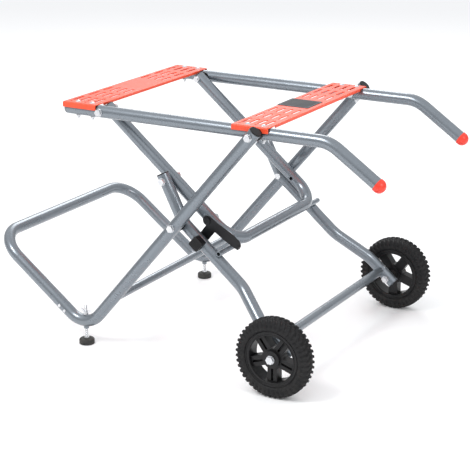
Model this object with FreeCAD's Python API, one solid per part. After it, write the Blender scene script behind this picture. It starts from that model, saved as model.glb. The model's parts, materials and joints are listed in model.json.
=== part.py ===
"""Folding, wheeled mitre saw stand: a top frame carried by two crossed leg frames and a wheel frame.

Side view, standing open:  A and B are pivots on the rails, C joins the inner frame to the wheel
frame, and D joins the foot frame to the wheel frame.  A-B-D-C is a four-bar linkage, so the legs
fold up under the rails together.  X runs along the rails towards the handles, Y across, Z up.
Everything is drawn with x = 0 at pivot A.  Each piece is then moved so that the origin lies on the
floor under the middle of the stand.
"""

import FreeCAD
import Part
import math
import os

Vec = FreeCAD.Vector

# ---------------------------------------------------------------- driving dimensions (mm)
TUBE_OD = 32.0
TUBE_WALL = 1.6
BRACE_OD = 22.0
AXLE_TUBE_OD = 25.0
THIN_WALL = 1.5

TOP_HEIGHT = 627.0          # rail centreline above the floor
PIVOT_SPAN = 460.0          # A to B along the rails
INNER_TO_LINK = 244.0       # A to C along the inner frame
FOOT_TO_LINK = 340.0        # B to D along the foot frame
INNER_ANGLE = 39.8          # inner frame below the rails, degrees
FOOT_ANGLE = 49.7           # foot frame below the rails, degrees

RAIL_Y = 260.0              # rail and upper wheel leg centreline from the middle
INNER_GAP = 4.0             # between rail and inner frame tubes
FOOT_GAP = 13.0             # between rail and foot frame tubes
RAIL_LEFT = -112.0
HANDLE_BEND_X = 645.0
HANDLE_LENGTH = 151.0
HANDLE_ANGLE = 34.3
HANDLE_RADIUS = 90.0
LEG_END = 17.0              # tube past its end pivot
INNER_LEG_END = 8.0         # shorter where the leg turns under the left plate

INNER_LENGTH = 475.0        # A to the corner of the inner frame
INNER_RADIUS = 66.0
FOOT_LENGTH = 770.0         # B to the corner at the floor
FOOT_CORNER = 93.0          # angle between the foot leg and the foot loop, degrees
FOOT_RADIUS = 65.0
LOOP_LENGTH = 357.0         # corner at the floor to the far end of the loop
LOOP_RADIUS = 80.0
LOOP_JOINT = 108.0          # corner to the socket joint in the loop
SOCKET_DEPTH = 42.0
BRACE_FROM_CORNER = 133.0

WHEEL_LEG_LENGTH = 414.0    # D to the axle
SPLAY_START = 225.0         # along the wheel leg from D
SPLAY_END = 338.0
SPLAY = 51.0                # sideways step of the wheel leg
WHEEL_LEG_RADIUS = 80.0
WHEEL_LEG_PAST = 21.0       # tube past the axle
AXLE_TUBE_AT = 386.0        # along the wheel leg from D

TYRE_OD = 203.2
TYRE_WIDTH = 48.0
TYRE_BEAD_R = 72.0
RIM_WIDTH = 38.0
RIM_INNER_R = 60.0
HUB_R = 22.0
HUB_WIDTH = 42.0
WHEEL_TO_LEG = 8.0          # leg tube to tyre
SPOKES = 5
SPOKE_WIDTH = 26.0
SPOKE_GROOVE = 6.0             # between the two ridges of a spoke
SPOKE_GROOVE_DEPTH = 8.0
SPOKE_PHASE = 270.0            # one spoke stands straight below the axle
HUB_WEB_R = 28.0               # web between the spokes at the hub
SPOKE_DEPTH = 26.0
BUSH_R = 10.0

PLATE_WIDTH = 102.0
PLATE_THICK = 2.5
PLATE_LEFT_X = -112.0       # left edge of the left plate
PLATE_PITCH = 500.0         # left plate to right plate
FLANGE_DEPTH = 14.0
LIP_DEPTH = 7.0
LIP_SETBACK = 6.0           # lip ends stop short of the rails
ROW_OFFSETS = (-36.0, -14.0, 8.0, 30.0)
SLOT_CENTRES = (92.0, 159.0, 226.0)
SLOT_LENGTH = 48.0
SLOT_WIDTH = 8.0
PLATE_BOLT_ROWS = (1, 3)
LABEL_LENGTH = 86.0
LABEL_WIDTH = 88.0
LABEL_THICK = 0.8

PIVOT_R = 5.0
AXLE_R = 6.0
PLATE_BOLT_R = 3.0
PIVOT_HEX = 16.0               # across flats
AXLE_HEX = 18.0
NUT_HEIGHT = 8.0
BOLT_PAST = 3.0                # bolt tip past its nut
SCREW_HEAD_R = 4.5             # pan head screws of the foot loop
SCREW_HEAD = 3.2
SCREW_R = 2.5
SCREW_SINK = 0.6               # head fitted down over the tube
CAP_SCREW_R = 4.2              # screw over the cross tube
CAP_SCREW_SINK = 2.0
STUD_R = 4.0
ROD_R = 4.0
RUN_CLEAR = 0.05            # radial running clearance on every turning fit
FIXED_CLEAR = 0.2           # radial clearance where a fastener only passes through
FACE_CLEAR = 0.4            # between faces that move past each other
FLANGE_FIT = 0.3            # plate flange to rail
NOTCH_CLEAR = 0.5           # plate flange round a pivot spacer
THIN_NUT = 3.2              # nut between the wheel leg and the inner frame's plane

PAD_R = 20.5
PAD_HEIGHT = 15.0
ROD_FOOT = 5.0              # rod's lower end, moulded into the pad
ROD_PAST = 27.65            # rod above the crown of the leg's corner
WING_NUT_GAP = 2.6             # wing nut above the bend's crown
LEVELLER_X = -1.5           # rod from the foot corner
COLLAR_R = 7.0              # nut on the levelling rod, standing on the pad
COLLAR_HEIGHT = 5.0
PAD_CROWN = 5.5             # rounding of the pad's top and sole
PAD_SOLE = 2.0
SEAT_NUT_HEIGHT = 6.5       # nut welded under the floor corner
WING_BOSS_R = 7.0
WING_BOSS_HEIGHT = 8.0
WING_THICK = 2.8
WING_EDGE = ((4, 1), (14, 7), (17, 14), (12, 15), (5, 8))

LATCH_THICK = 3.2
LATCH_PIVOT_AT = 390.0      # along the inner frame from A
LATCH_HEAD_R = 13.0
LOCK_AT = 66.0              # lock stud along the wheel leg from D
LOCK_BLOCK = 30.0
LOCK_BLOCK_THICK = 11.5
HOOK_SLACK = 0.6            # hook to lock stud
HOOK_FINGER = 4.0           # finger past the lock stud's centre
LEVER_EDGE = ((-4, 13), (23, 16), (51, 22), (79, 27), (98, 27), (108, 21), (110, 12), (103, 5),
              (92, 2), (64, -3), (34, -7))     # lever outline: along, and square to, the frame
ARM_LEFT = 7.0              # edges of the hook arm along the frame from the latch pivot
ARM_RIGHT = 34.0
ARM_END = -56.0
TAB_DEPTH = 9.0             # thumb tab bent outboard at the lever's tip

STOP_WALL = 1.8
STOP_INBOARD = 52.0         # stop pin inboard of the inner frame tube
STOP_OUTBOARD = 15.0        # stop pin outboard of the wheel leg's centreline

CAP_SKIRT = 6.0
CAP_OVER = 1.5              # cap radius over the tube
PLUG_FACE = 3.0
PLUG_SPIGOT = 10.0
SHORT_SPIGOT = 2.5          # where the end pivot is close
PLUG_CLEAR = 0.1
RAIL_CAP = 10.0


# ---------------------------------------------------------------- derived places
def heading(degrees):
    """Unit vector in the XZ plane at an angle above +X."""
    return Vec(math.cos(math.radians(degrees)), 0, math.sin(math.radians(degrees)))


TUBE_R = TUBE_OD / 2
TUBE_BORE_R = TUBE_R - TUBE_WALL
SPACER_R = TUBE_R - 1
INNER_Y = RAIL_Y - TUBE_OD - INNER_GAP
FOOT_Y = RAIL_Y + TUBE_OD + FOOT_GAP
AXLE_LEG_Y = RAIL_Y + SPLAY
WHEEL_Y = AXLE_LEG_Y + TUBE_R + WHEEL_TO_LEG + TYRE_WIDTH / 2
WHEEL_R = TYRE_OD / 2

PIVOT_A = Vec(0, 0, TOP_HEIGHT)
PIVOT_B = Vec(PIVOT_SPAN, 0, TOP_HEIGHT)
INNER_DIR = heading(-INNER_ANGLE)
FOOT_DIR = heading(180 + FOOT_ANGLE)
PIVOT_C = PIVOT_A + INNER_DIR * INNER_TO_LINK
PIVOT_D = PIVOT_B + FOOT_DIR * FOOT_TO_LINK
INNER_CORNER = PIVOT_A + INNER_DIR * INNER_LENGTH
FOOT_CORNER_POINT = PIVOT_B + FOOT_DIR * FOOT_LENGTH
LOOP_DIR = heading(FOOT_ANGLE + FOOT_CORNER)
LOOP_END = FOOT_CORNER_POINT + LOOP_DIR * LOOP_LENGTH
BRACE_POINT = FOOT_CORNER_POINT - FOOT_DIR * BRACE_FROM_CORNER

WHEEL_DROP = PIVOT_D.z - WHEEL_R
WHEEL_LEG_ANGLE = math.degrees(math.asin(WHEEL_DROP / WHEEL_LEG_LENGTH))
WHEEL_DIR = heading(-WHEEL_LEG_ANGLE)
WHEEL_NORMAL = heading(90 - WHEEL_LEG_ANGLE)
AXLE = PIVOT_D + WHEEL_DIR * WHEEL_LEG_LENGTH
AXLE_TUBE_POINT = PIVOT_D + WHEEL_DIR * AXLE_TUBE_AT
LOCK_POINT = PIVOT_D + WHEEL_DIR * LOCK_AT
LINK_DIR = (PIVOT_C - PIVOT_D).normalize()

HANDLE_BEND = Vec(HANDLE_BEND_X, 0, TOP_HEIGHT)
HANDLE_DIR = heading(-HANDLE_ANGLE)
HANDLE_END = HANDLE_BEND + HANDLE_DIR * HANDLE_LENGTH

PLATE_BASE = TOP_HEIGHT + TUBE_R
PLATE_TOP = PLATE_BASE + PLATE_THICK
PLATE_HALF_LENGTH = RAIL_Y + TUBE_R + FLANGE_FIT + PLATE_THICK
PLATE_CENTRES = [PLATE_LEFT_X + PLATE_WIDTH / 2 + k * PLATE_PITCH for k in (0, 1)]
LIP_HALF_LENGTH = RAIL_Y - TUBE_R - LIP_SETBACK

LEVELLER = Vec(FOOT_CORNER_POINT.x + LEVELLER_X, 0, 0)
CORNER_RISE = FOOT_RADIUS * (1 / math.sin(math.radians(FOOT_CORNER / 2)) - 1)
CORNER_CENTRE_Z = FOOT_CORNER_POINT.z + CORNER_RISE
ROD_TOP = CORNER_CENTRE_Z + TUBE_R + ROD_PAST

LATCH_PIVOT = PIVOT_A + INNER_DIR * LATCH_PIVOT_AT
INNER_NORMAL = heading(90 - INNER_ANGLE)
LATCH_Y = INNER_Y + TUBE_R + FACE_CLEAR

CORNER_OFFSET = (INNER_CORNER - PIVOT_D).dot(WHEEL_NORMAL)
CORNER_ALONG = (INNER_CORNER - PIVOT_D).dot(WHEEL_DIR)
STOP_R = (CORNER_OFFSET - 2 * TUBE_R - FACE_CLEAR) / 2 + 0.1
STOP_POINT = (PIVOT_D + WHEEL_DIR * CORNER_ALONG
              + WHEEL_NORMAL * (TUBE_R + FACE_CLEAR + STOP_R))

CAP_R = TUBE_R + CAP_OVER
STAND_LEFT = LOOP_END.x - TUBE_R
STAND_RIGHT = (HANDLE_END + HANDLE_DIR * CAP_SKIRT).x + CAP_R
TO_ORIGIN = Vec(-(STAND_LEFT + STAND_RIGHT) / 2, 0, 0)

SIDES = {"front": -1, "rear": 1}
ACROSS = Vec(0, 1, 0)
UP = Vec(0, 0, 1)


# ---------------------------------------------------------------- shape helpers
def at_y(point, y):
    """The same side-view point in the plane y."""
    return Vec(point.x, y, point.z)


def join(solids):
    """One clean solid from several that touch or overlap."""
    first = solids[0]
    return first.fuse(solids[1:]).removeSplitter() if len(solids) > 1 else first


def group(solids):
    """Separate solids kept together in one node."""
    return Part.makeCompound(solids)


def path(points, radii):
    """Straight runs joined by tangent arcs, one radius for each inner point."""
    edges = []
    start = points[0]
    for before, corner, after, radius in zip(points, points[1:], points[2:], radii):
        way_in = (corner - before).normalize()
        way_out = (after - corner).normalize()
        turn = way_in.getAngle(way_out)
        reach = radius * math.tan(turn / 2)
        arc_start = corner - way_in * reach
        arc_end = corner + way_out * reach
        inward = (way_out - way_in).normalize()
        arc_middle = corner + inward * (radius / math.cos(turn / 2) - radius)
        edges.append(Part.LineSegment(start, arc_start).toShape())
        edges.append(Part.Arc(arc_start, arc_middle, arc_end).toShape())
        start = arc_end
    edges.append(Part.LineSegment(start, points[-1]).toShape())
    return Part.Wire(edges)


def rod_along(points, radii, radius):
    """Solid round bar along a path."""
    direction = (points[1] - points[0]).normalize()
    section = Part.Face(Part.Wire(Part.makeCircle(radius, points[0], direction)))
    return path(points, radii).makePipe(section)


def tube_along(points, radii, outer_r, wall):
    """Round tube along a path, open at both ends."""
    return rod_along(points, radii, outer_r).cut(rod_along(points, radii, outer_r - wall))


def cross_pin(point, radius, y_from, y_to):
    """Round bar along Y between two planes."""
    low, high = min(y_from, y_to), max(y_from, y_to)
    return Part.makeCylinder(radius, high - low, at_y(point, low), ACROSS)


def ring(point, outer_r, inner_r, y_from, y_to):
    """Washer or spacer along Y."""
    low, high = min(y_from, y_to), max(y_from, y_to)
    outer = cross_pin(point, outer_r, low, high)
    return outer.cut(cross_pin(point, inner_r, low - 1, high + 1))


def hexagon(point, across_flats, y_from, y_to):
    """Hexagonal prism along Y."""
    low, high = min(y_from, y_to), max(y_from, y_to)
    radius = across_flats / math.sqrt(3)
    corners = [at_y(point + heading(60 * k) * radius, low) for k in range(7)]
    prism = Part.Face(Part.makePolygon(corners)).extrude(ACROSS * (high - low))
    chamfer = Part.makeSphere(radius * 1.35, at_y(point, (low + high) / 2))
    return prism.common(chamfer)


def hex_nut_y(point, bore_r, across_flats, y_from, y_to):
    """Hexagonal nut along Y with its bore."""
    return hexagon(point, across_flats, y_from, y_to).cut(
        cross_pin(point, bore_r, y_from - 20, y_to + 20))


def flange_bolt(point, shank_r, across_flats, head_y, tip_y, side):
    """Flanged hexagon bolt along Y; its head stands outboard of head_y."""
    flange_thick = 2.0
    head_height = 6.0
    flange = cross_pin(point, across_flats * 0.62, head_y, head_y + side * flange_thick)
    head = hexagon(point, across_flats, head_y, head_y + side * (flange_thick + head_height))
    shank = cross_pin(point, shank_r, tip_y, head_y + side)
    return join([flange, head, shank])


def tube_plug(end, direction, face_thick, spigot_length=PLUG_SPIGOT):
    """Plastic plug in a tube end: a domed face and a spigot up the bore."""
    face = Part.makeCylinder(TUBE_R, face_thick, end, direction)
    rim = [e for e in face.Edges if e.Curve.TypeId == "Part::GeomCircle"
           and abs((e.Curve.Center - end).dot(direction) - face_thick) < 1e-6]
    face = face.makeFillet(face_thick * 0.8, rim)
    spigot = Part.makeCylinder(TUBE_BORE_R - PLUG_CLEAR, spigot_length,
                               end - direction * spigot_length, direction)
    return join([face, spigot])


def slot_cutter(x, y, length, width, z_from, z_to):
    """Round-ended slot running along Y."""
    radius = width / 2
    straight = length - width
    corner = Vec(x - radius, y - straight / 2, z_from)
    block = Part.makeBox(width, straight, z_to - z_from, corner)
    ends = [Part.makeCylinder(radius, z_to - z_from, Vec(x, y + s * straight / 2, z_from))
            for s in (-1, 1)]
    return join([block] + ends)


def both_sides(make):
    """One solid on each side of the stand, grouped."""
    return group([make(side) for side in SIDES.values()])


# ---------------------------------------------------------------- top frame
def plate_bolt_places():
    """Every plate bolt as (x, y)."""
    return [(centre + ROW_OFFSETS[row], side * RAIL_Y)
            for centre in PLATE_CENTRES for row in PLATE_BOLT_ROWS for side in (-1, 1)]


def rail(side):
    """Rail and handle in one bent tube, drilled for the pivots and the plate bolts."""
    y = side * RAIL_Y
    left = Vec(RAIL_LEFT + RAIL_CAP, y, TOP_HEIGHT)
    points = [left, at_y(HANDLE_BEND, y), at_y(HANDLE_END, y)]
    tube = tube_along(points, [HANDLE_RADIUS], TUBE_R, TUBE_WALL)
    holes = [cross_pin(p, PIVOT_R + RUN_CLEAR, y - TUBE_OD, y + TUBE_OD)
             for p in (PIVOT_A, PIVOT_B)]
    hole_r = PLATE_BOLT_R + FIXED_CLEAR
    holes += [Part.makeCylinder(hole_r, 2 * TUBE_OD, Vec(x, y, TOP_HEIGHT - TUBE_OD))
              for x, bolt_y in plate_bolt_places() if bolt_y == y]
    return tube.cut(holes)


def rail_plug(side):
    """Rounded cap in the left end of a rail."""
    end = Vec(RAIL_LEFT + RAIL_CAP, side * RAIL_Y, TOP_HEIGHT)
    return tube_plug(end, Vec(-1, 0, 0), RAIL_CAP)


def handle_cap(side):
    """Domed end of a handle with a spigot inside the tube."""
    end = at_y(HANDLE_END, side * RAIL_Y)
    skirt = Part.makeCylinder(CAP_R, CAP_SKIRT, end, HANDLE_DIR)
    centre = end + HANDLE_DIR * CAP_SKIRT
    dome = Part.makeSphere(CAP_R, centre).common(
        Part.makeCylinder(CAP_R + 1, CAP_R + 1, centre, HANDLE_DIR))
    spigot = Part.makeCylinder(TUBE_BORE_R - PLUG_CLEAR, PLUG_SPIGOT,
                               end - HANDLE_DIR * PLUG_SPIGOT, HANDLE_DIR)
    return join([skirt, dome, spigot])


def mount_plate(centre_x):
    """Slotted steel plate across the rails, flanged over them and lipped along its long edges."""
    half_x = PLATE_WIDTH / 2
    slab = Part.makeBox(PLATE_WIDTH, 2 * PLATE_HALF_LENGTH, FLANGE_DEPTH,
                        Vec(centre_x - half_x, -PLATE_HALF_LENGTH, PLATE_TOP - FLANGE_DEPTH))
    end_edges = [e for e in slab.Edges if abs(e.BoundBox.XLength - PLATE_WIDTH) < 1e-6
                 and e.BoundBox.ZMin > PLATE_TOP - 1e-3]
    slab = slab.makeFillet(4.0, end_edges)
    upright = [e for e in slab.Edges if e.BoundBox.ZLength > 5 and e.BoundBox.XLength < 1e-3
               and e.BoundBox.YLength < 1e-3]
    slab = slab.makeFillet(3.0, upright)
    inside = Part.makeBox(PLATE_WIDTH + 2, 2 * (PLATE_HALF_LENGTH - PLATE_THICK), FLANGE_DEPTH,
                          Vec(centre_x - half_x - 1, -PLATE_HALF_LENGTH + PLATE_THICK,
                              PLATE_BASE - FLANGE_DEPTH))
    plate = slab.cut(inside)
    lips = [Part.makeBox(PLATE_THICK, 2 * LIP_HALF_LENGTH, LIP_DEPTH - PLATE_THICK / 2,
                         Vec(x, -LIP_HALF_LENGTH, PLATE_TOP - LIP_DEPTH))
            for x in (centre_x - half_x, centre_x + half_x - PLATE_THICK)]
    plate = join([plate] + lips)
    low, high = PLATE_TOP - 2 * PLATE_THICK, PLATE_TOP + 1
    cutters = [slot_cutter(centre_x + row, s * y, SLOT_LENGTH, SLOT_WIDTH, low, high)
               for row in ROW_OFFSETS for y in SLOT_CENTRES for s in (-1, 1)]
    for row, offset in enumerate(ROW_OFFSETS):
        radius = PLATE_BOLT_R + FIXED_CLEAR if row in PLATE_BOLT_ROWS else SLOT_WIDTH / 2 - 0.5
        cutters += [Part.makeCylinder(radius, high - low, Vec(centre_x + offset, s * RAIL_Y, low))
                    for s in (-1, 1)]
    cutters += [cross_pin(PIVOT_B, SPACER_R + NOTCH_CLEAR, s * (RAIL_Y + TUBE_R),
                          s * (PLATE_HALF_LENGTH + 1)) for s in (-1, 1)]
    return plate.cut(cutters)


def label_plate():
    """Blank label in the middle of the right plate."""
    x = PLATE_CENTRES[1] - PLATE_WIDTH / 2
    label = Part.makeBox(LABEL_WIDTH, LABEL_LENGTH, LABEL_THICK,
                         Vec(x, -LABEL_LENGTH / 2, PLATE_TOP))
    upright = [e for e in label.Edges if e.BoundBox.XLength + e.BoundBox.YLength < 1e-3]
    return label.makeFillet(3.0, upright)


def plate_bolt(x, y):
    """Domed carriage bolt down through a plate and its rail."""
    head_r, head_height, nut_height, past_nut = 7.5, 3.6, 5.0, 4.0
    ball_r = (head_r ** 2 + head_height ** 2) / (2 * head_height)
    ball = Part.makeSphere(ball_r, Vec(x, y, PLATE_TOP + head_height - ball_r))
    head = ball.common(Part.makeCylinder(head_r, head_height + 1, Vec(x, y, PLATE_TOP)))
    length = PLATE_THICK + TUBE_OD + nut_height + past_nut
    shank = Part.makeCylinder(PLATE_BOLT_R, length, Vec(x, y, PLATE_TOP - length))
    return join([head, shank])


def plate_nut(x, y):
    """Hexagon nut and washer under the rail on a plate bolt."""
    across_flats, height, washer_r, washer_thick = 10.0, 5.0, 6.0, 1.2
    top = Vec(x, y, TOP_HEIGHT - TUBE_R)
    radius = across_flats / math.sqrt(3)
    corners = [top + Vec(radius * math.cos(k * math.pi / 3), radius * math.sin(k * math.pi / 3), 0)
               for k in range(7)]
    prism = Part.Face(Part.makePolygon(corners)).extrude(UP * -height)
    washer = Part.makeCylinder(washer_r, washer_thick, top, UP * -1)
    bore = Part.makeCylinder(PLATE_BOLT_R, 3 * height, top + UP * height, UP * -1)
    return join([prism, washer]).cut(bore)


def rail_nut_face(point):
    """Distance from the middle of the face that a rail pivot's nut sits on."""
    if point == PIVOT_A:
        return INNER_Y - TUBE_R - FACE_CLEAR
    return RAIL_Y - TUBE_R


def pivot_bolt_top(point, outer_y):
    """Maker for the bolt at a rail pivot; its head stands off a frame that turns."""
    head_gap = FACE_CLEAR if point == PIVOT_B else 0.0

    def make(side):
        tip = rail_nut_face(point) - NUT_HEIGHT - BOLT_PAST
        return flange_bolt(point, PIVOT_R, PIVOT_HEX, side * (outer_y + TUBE_R + head_gap),
                           side * tip, side)
    return make


def rail_pivot_nut(point):
    """Maker for the nut at a rail pivot."""
    def make(side):
        face = rail_nut_face(point)
        return hex_nut_y(point, PIVOT_R, PIVOT_HEX, side * face, side * (face - NUT_HEIGHT))
    return make


# ---------------------------------------------------------------- inner frame
def inner_points():
    """Centreline of the inner frame from one top end to the other."""
    top = PIVOT_A - INNER_DIR * INNER_LEG_END
    return [at_y(top, -INNER_Y), at_y(INNER_CORNER, -INNER_Y), at_y(INNER_CORNER, INNER_Y),
            at_y(top, INNER_Y)]


def inner_frame():
    """Bent tube: two legs and the cross run at their foot."""
    points = inner_points()
    tube = tube_along(points, [INNER_RADIUS, INNER_RADIUS], TUBE_R, TUBE_WALL)
    reach = INNER_Y + TUBE_OD
    return tube.cut([cross_pin(p, PIVOT_R + RUN_CLEAR, -reach, reach)
                     for p in (PIVOT_A, PIVOT_C, LATCH_PIVOT)])


def link_nut(side):
    """Nut and bolt end on the inboard face of the inner frame at pivot C."""
    nut_height, past_nut = 8.0, 3.0
    face = INNER_Y - TUBE_R
    nut = hexagon(PIVOT_C, PIVOT_HEX, side * face, side * (face - nut_height))
    end = cross_pin(PIVOT_C, PIVOT_R, side * (INNER_Y + TUBE_R),
                    side * (face - nut_height - past_nut))
    return join([nut, end])


def latch_bolt():
    """Shouldered bolt that the latch lever turns on."""
    side = SIDES["front"]
    head = INNER_Y + TUBE_R + LATCH_THICK + FACE_CLEAR
    thin_head = 2.4
    button = cross_pin(LATCH_PIVOT, 9.0, side * (head + FACE_CLEAR),
                       side * (head + FACE_CLEAR + thin_head))
    shank = cross_pin(LATCH_PIVOT, PIVOT_R, side * (head + FACE_CLEAR + 1),
                      side * (INNER_Y - TUBE_R - NUT_HEIGHT - BOLT_PAST))
    return join([button, shank])


def latch_nut():
    """Nut on the latch bolt."""
    side = SIDES["front"]
    face = INNER_Y - TUBE_R
    return hex_nut_y(LATCH_PIVOT, PIVOT_R, PIVOT_HEX, side * face, side * (face - NUT_HEIGHT))


def stop_pin(side):
    """Tube welded under the inner frame's corner that rests on the wheel leg when open."""
    pin = ring(STOP_POINT, STOP_R, STOP_R - STOP_WALL, side * (INNER_Y - STOP_INBOARD),
               side * (RAIL_Y + STOP_OUTBOARD))
    frame = rod_along(inner_points(), [INNER_RADIUS, INNER_RADIUS], TUBE_R)
    return max(pin.cut(frame).Solids, key=lambda solid: solid.Volume)


# ---------------------------------------------------------------- latch
def on_inner(along, over):
    """Side-view point from the latch pivot, along and square to the inner frame."""
    return LATCH_PIVOT + INNER_DIR * along + INNER_NORMAL * over


def latch_lever():
    """Flat steel lever: thumb tab at its tip, and an arm that hooks over the lock stud."""
    side = SIDES["front"]
    y_low = min(side * LATCH_Y, side * (LATCH_Y + LATCH_THICK))
    y_high = y_low + LATCH_THICK
    arm = [(ARM_RIGHT, ARM_END + 2), (ARM_RIGHT - 3, ARM_END), (ARM_LEFT + 3, ARM_END),
           (ARM_LEFT, ARM_END + 3), (ARM_LEFT - 2, -9), (-11, -7)]
    outline = [at_y(on_inner(a, o), y_low) for a, o in LEVER_EDGE + tuple(arm)]
    plate = Part.Face(Part.makePolygon(outline + outline[:1])).extrude(ACROSS * LATCH_THICK)
    plate = join([plate, cross_pin(LATCH_PIVOT, LATCH_HEAD_R, y_low, y_high), thumb_tab(side)])
    stud = (LOCK_POINT - LATCH_PIVOT).dot(INNER_DIR), (LOCK_POINT - LATCH_PIVOT).dot(INNER_NORMAL)
    notch_r = STUD_R + HOOK_SLACK
    mouth = [(stud[0], stud[1] - notch_r), (stud[0] + 30, stud[1] - notch_r),
             (stud[0] + 30, stud[1] + notch_r), (stud[0], stud[1] + notch_r)]
    below = [(stud[0] + HOOK_FINGER, stud[1] - notch_r - 30), (stud[0] + 30, stud[1] - notch_r - 30),
             (stud[0] + 30, stud[1]), (stud[0] + HOOK_FINGER, stud[1])]
    cutters = [cross_pin(LOCK_POINT, notch_r, y_low - 1, y_high + 1),
               cross_pin(LATCH_PIVOT, PIVOT_R + RUN_CLEAR, y_low - 1, y_high + 1)]
    for shape in (mouth, below):
        points = [at_y(on_inner(a, o), y_low - 1) for a, o in shape]
        cutters.append(Part.Face(Part.makePolygon(points + points[:1])).extrude(
            ACROSS * (LATCH_THICK + 2)))
    return plate.cut(cutters)


def thumb_tab(side):
    """Tab bent outboard along the upper edge of the lever's tip."""
    lower, upper = LEVER_EDGE[5], LEVER_EDGE[6]
    run = [on_inner(*lower), on_inner(*upper)]
    inward = (on_inner(92, 14) - (run[0] + run[1]) * 0.5).normalize() * LATCH_THICK
    corners = [run[0], run[1], run[1] + inward, run[0] + inward, run[0]]
    start = side * LATCH_Y
    face = Part.Face(Part.makePolygon([at_y(c, start) for c in corners]))
    return face.extrude(ACROSS * side * (LATCH_THICK + TAB_DEPTH))


# ---------------------------------------------------------------- foot frame
def foot_points(side):
    """Centreline of a foot leg from its top end, round the floor corner, to the loop joint."""
    y = side * FOOT_Y
    return [at_y(PIVOT_B - FOOT_DIR * LEG_END, y), at_y(FOOT_CORNER_POINT, y),
            at_y(FOOT_CORNER_POINT + LOOP_DIR * LOOP_JOINT, y)]


def foot_leg(side):
    """Foot leg tube with its pivot, leveller and loop screw holes."""
    y = side * FOOT_Y
    tube = tube_along(foot_points(side), [FOOT_RADIUS], TUBE_R, TUBE_WALL)
    holes = [cross_pin(p, PIVOT_R + RUN_CLEAR, y - TUBE_OD, y + TUBE_OD)
             for p in (PIVOT_B, PIVOT_D)]
    holes.append(Part.makeCylinder(ROD_R + RUN_CLEAR, 200, at_y(LEVELLER, y)))
    return tube.cut(holes + [loop_screw_hole(side, k) for k in (0, 1)])


def loop_screw_place(side, number):
    """Centre of a loop screw in the socket, on the tube's axis."""
    along = LOOP_JOINT - 12 - 20 * number
    return at_y(FOOT_CORNER_POINT + LOOP_DIR * along, side * FOOT_Y)


def loop_screw_hole(side, number):
    """Hole for a loop screw through the outboard wall."""
    place = loop_screw_place(side, number)
    return Part.makeCylinder(2.5, TUBE_OD, place, ACROSS * side)


def loop_screw(side, number):
    """Pan head screw that locks the loop in its socket."""
    place = loop_screw_place(side, number)
    out = ACROSS * side
    face = place + out * (TUBE_R - SCREW_SINK)
    head = Part.makeCylinder(SCREW_HEAD_R, SCREW_HEAD, face, out)
    top = [e for e in head.Edges if abs((e.BoundBox.Center - face).dot(out) - SCREW_HEAD) < 1e-3]
    leg = rod_along(foot_points(side), [FOOT_RADIUS], TUBE_R)
    head = head.makeFillet(SCREW_HEAD / 2, top).cut(leg)
    shank = Part.makeCylinder(SCREW_R, 6 + SCREW_SINK, face - out * 6, out)
    return join([head, shank])


def foot_loop():
    """U-shaped foot tube whose reduced ends plug into the two foot legs."""
    start = FOOT_CORNER_POINT + LOOP_DIR * LOOP_JOINT
    points = [at_y(start, -FOOT_Y), at_y(LOOP_END, -FOOT_Y), at_y(LOOP_END, FOOT_Y),
              at_y(start, FOOT_Y)]
    outer = rod_along(points, [LOOP_RADIUS, LOOP_RADIUS], TUBE_R)
    necks = []
    for side in SIDES.values():
        joint = at_y(start, side * FOOT_Y)
        necks.append(Part.makeCylinder(TUBE_BORE_R - PLUG_CLEAR, SOCKET_DEPTH + 10,
                                       joint - LOOP_DIR * SOCKET_DEPTH, LOOP_DIR))
    deep = FOOT_CORNER_POINT + LOOP_DIR * (LOOP_JOINT - SOCKET_DEPTH)
    bore_points = [at_y(deep, -FOOT_Y), points[1], points[2], at_y(deep, FOOT_Y)]
    bore = rod_along(bore_points, [LOOP_RADIUS, LOOP_RADIUS], TUBE_BORE_R - 2 * THIN_WALL)
    holes = [loop_screw_hole(side, k) for side in SIDES.values() for k in (0, 1)]
    return join([outer] + necks).cut([bore] + holes)


def coped_bar(point, reach_y, outer_r, wall, mates):
    """Cross tube along Y whose ends are cut to sit on the tubes it is welded to."""
    bar = cross_pin(point, outer_r, -reach_y, reach_y)
    bore = cross_pin(point, outer_r - wall, -reach_y, reach_y)
    pieces = bar.cut(bore).cut(mates).Solids
    return max(pieces, key=lambda solid: solid.Volume)


def foot_brace():
    """Round brace between the foot legs."""
    legs = [rod_along(foot_points(side), [FOOT_RADIUS], TUBE_R) for side in SIDES.values()]
    return coped_bar(BRACE_POINT, FOOT_Y, BRACE_OD / 2, THIN_WALL, legs)


def leveller_weld_nut(side):
    """Nut welded under the floor corner that the levelling rod screws through."""
    top = CORNER_CENTRE_Z - TUBE_R + 1.5
    base = at_y(LEVELLER, side * FOOT_Y)
    nut = Part.makeCylinder(COLLAR_R, SEAT_NUT_HEIGHT, base + UP * (top - SEAT_NUT_HEIGHT))
    corner = rod_along(foot_points(side), [FOOT_RADIUS], TUBE_R)
    return nut.cut([corner, Part.makeCylinder(ROD_R + RUN_CLEAR, 2 * ROD_TOP, base)])


def leveller_rod(side):
    """Threaded levelling rod with the nut that stands on the pad."""
    base = at_y(LEVELLER, side * FOOT_Y)
    rod = Part.makeCylinder(ROD_R, ROD_TOP - ROD_FOOT, base + UP * ROD_FOOT)
    slot = Part.makeBox(1.4, 10, 2, base + Vec(-0.7, -5, ROD_TOP - 2))
    collar = Part.makeCylinder(COLLAR_R, COLLAR_HEIGHT, base + UP * PAD_HEIGHT)
    return join([rod, collar]).cut(slot)


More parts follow.
